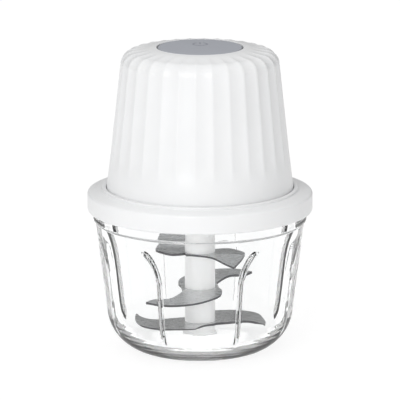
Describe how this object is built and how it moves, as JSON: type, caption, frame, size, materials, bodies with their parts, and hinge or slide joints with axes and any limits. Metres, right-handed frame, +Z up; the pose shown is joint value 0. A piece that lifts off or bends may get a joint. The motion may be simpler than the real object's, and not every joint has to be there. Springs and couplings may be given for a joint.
{
  "type": "food processor",
  "caption": "Cordless mini food processor: ribbed glass bowl, tiered steel blade on a white shaft, lid, and a fluted tapered motor head with a round power button.",
  "frame": {"origin": "centre of the bowl's flat underside", "axes": "+Z up along the blade axis, -Y is the front, the charging socket is at +Y"},
  "size_m": [0.115, 0.115, 0.1572],
  "materials": {
    "clear_glass": "polished clear glass",
    "white_abs": "satin white ABS",
    "white_shaft": "satin white polypropylene",
    "polished_steel": "polished stainless sheet",
    "steel": "machined steel",
    "zinc_steel": "zinc-plated steel",
    "grey_button": "matt cool grey plastic",
    "grey_print": "pad print, a shade darker than the button",
    "clear_silicone": "translucent white silicone",
    "white_silicone": "matt white silicone",
    "natural_acetal": "natural acetal",
    "grey_nylon": "glass-filled nylon",
    "black_nylon": "black nylon",
    "magnet_ferrite": "sintered ferrite",
    "nickel_magnet": "nickel-plated magnet",
    "copper_iron": "laminated core with enamelled copper",
    "brass": "brass",
    "bronze": "sintered bronze",
    "cell_wrap": "blue shrink sleeve",
    "nickel_strip": "nickel strip",
    "green_board": "green solder mask",
    "black_epoxy": "moulded epoxy",
    "red_wire": "PVC insulation"
  },
  "bodies": {
    "bowl_unit": {"bowl": "clear_glass", "pivot_pin": "steel"},
    "blade_unit": {"shaft_core": "white_shaft", "pivot_bush": "natural_acetal", "foot_sleeve": "white_shaft", "lower_sleeve": "white_shaft", "upper_sleeve": "white_shaft", "top_sleeve": "white_shaft", "shaft_journal": "white_shaft", "drive_socket": "steel", "lower_blade": "polished_steel", "middle_blade": "polished_steel", "upper_blade": "polished_steel"},
    "lid_unit": {"lid": "white_abs", "interlock_magnet": "nickel_magnet", "bowl_seal": "clear_silicone", "lid_bush": "natural_acetal"},
    "motor_head": {"motor_housing": "white_abs", "housing_base": "white_abs", "base_screws": "zinc_steel", "button_spring": "steel", "ring_gear": "natural_acetal", "gearbox_housing": "grey_nylon", "output_bearing": "steel", "gearbox_screws": "zinc_steel", "motor_mount": "grey_nylon", "mount_screws": "zinc_steel", "motor_can": "zinc_steel", "motor_end_cap": "black_nylon", "motor_terminals": "brass", "motor_bushes": "bronze", "motor_magnets": "magnet_ferrite", "motor_screws": "zinc_steel", "left_battery_cell": "cell_wrap", "right_battery_cell": "cell_wrap", "battery_holder": "black_nylon", "battery_tabs": "nickel_strip", "battery_link": "nickel_strip", "board_carrier": "black_nylon", "board_standoffs": "natural_acetal", "board_screws": "zinc_steel", "control_board": "green_board", "board_chips": "black_epoxy", "tact_switch": "black_epoxy", "interlock_sensor": "black_epoxy", "charge_board": "green_board", "charge_socket": "nickel_strip", "charge_wires": "red_wire"},
    "button": {"power_button": "grey_button", "power_icon": "grey_print"},
    "output": {"planet_carrier": "steel", "planet_pins": "steel", "output_shaft": "steel"},
    "rotor": {"motor_shaft": "steel", "armature": "copper_iron", "sun_gear": "steel"},
    "planet_1": {"planet_gear_1": "natural_acetal"},
    "planet_2": {"planet_gear_2": "natural_acetal"},
    "planet_3": {"planet_gear_3": "natural_acetal"},
    "port_cover": {"socket_cover": "white_silicone"}
  },
  "joints": [
    {"name": "blade_spin", "type": "hinge", "parent": "bowl_unit", "child": "blade_unit", "pos_m": [0, 0, 0.02], "axis": [0, 0, 1], "continuous": true},
    {"name": "lid_lift", "type": "slide", "parent": "bowl_unit", "child": "lid_unit", "axis": [0, 0, 1], "range_m": [0, 0.085]},
    {"name": "head_lift", "type": "slide", "parent": "lid_unit", "child": "motor_head", "axis": [0, 0, 1], "range_m": [0, 0.06]},
    {"name": "button_press", "type": "slide", "parent": "motor_head", "child": "button", "axis": [0, 0, -1], "range_m": [0, 0.0014], "stiffness_N_per_m": 900, "springref_m": -0.0022, "deforming": ["button_spring"]},
    {"name": "output_spin", "type": "hinge", "parent": "motor_head", "child": "output", "pos_m": [0, 0, 0.085], "axis": [0, 0, 1], "continuous": true},
    {"name": "motor_spin", "type": "hinge", "parent": "motor_head", "child": "rotor", "pos_m": [0, 0, 0.12], "axis": [0, 0, 1], "continuous": true},
    {"name": "port_cover_hinge", "type": "hinge", "parent": "motor_head", "child": "port_cover", "pos_m": [0, 0.04468, 0.10265], "axis": [-1, 0, 0], "range_deg": [0, 90]},
    {"name": "planet_1_spin", "type": "hinge", "parent": "output", "child": "planet_1", "pos_m": [0.009, 0, 0.093], "axis": [0, 0, 1], "continuous": true},
    {"name": "planet_2_spin", "type": "hinge", "parent": "output", "child": "planet_2", "pos_m": [-0.0045, 0.00779, 0.093], "axis": [0, 0, 1], "continuous": true},
    {"name": "planet_3_spin", "type": "hinge", "parent": "output", "child": "planet_3", "pos_m": [-0.0045, -0.00779, 0.093], "axis": [0, 0, 1], "continuous": true}
  ],
  "couplings": [
    {"joint": "output_spin", "follows": "blade_spin", "ratio": 1},
    {"joint": "motor_spin", "follows": "blade_spin", "ratio": 5},
    {"joint": "planet_1_spin", "follows": "blade_spin", "ratio": -2.6667},
    {"joint": "planet_2_spin", "follows": "blade_spin", "ratio": -2.6667},
    {"joint": "planet_3_spin", "follows": "blade_spin", "ratio": -2.6667}
  ]
}
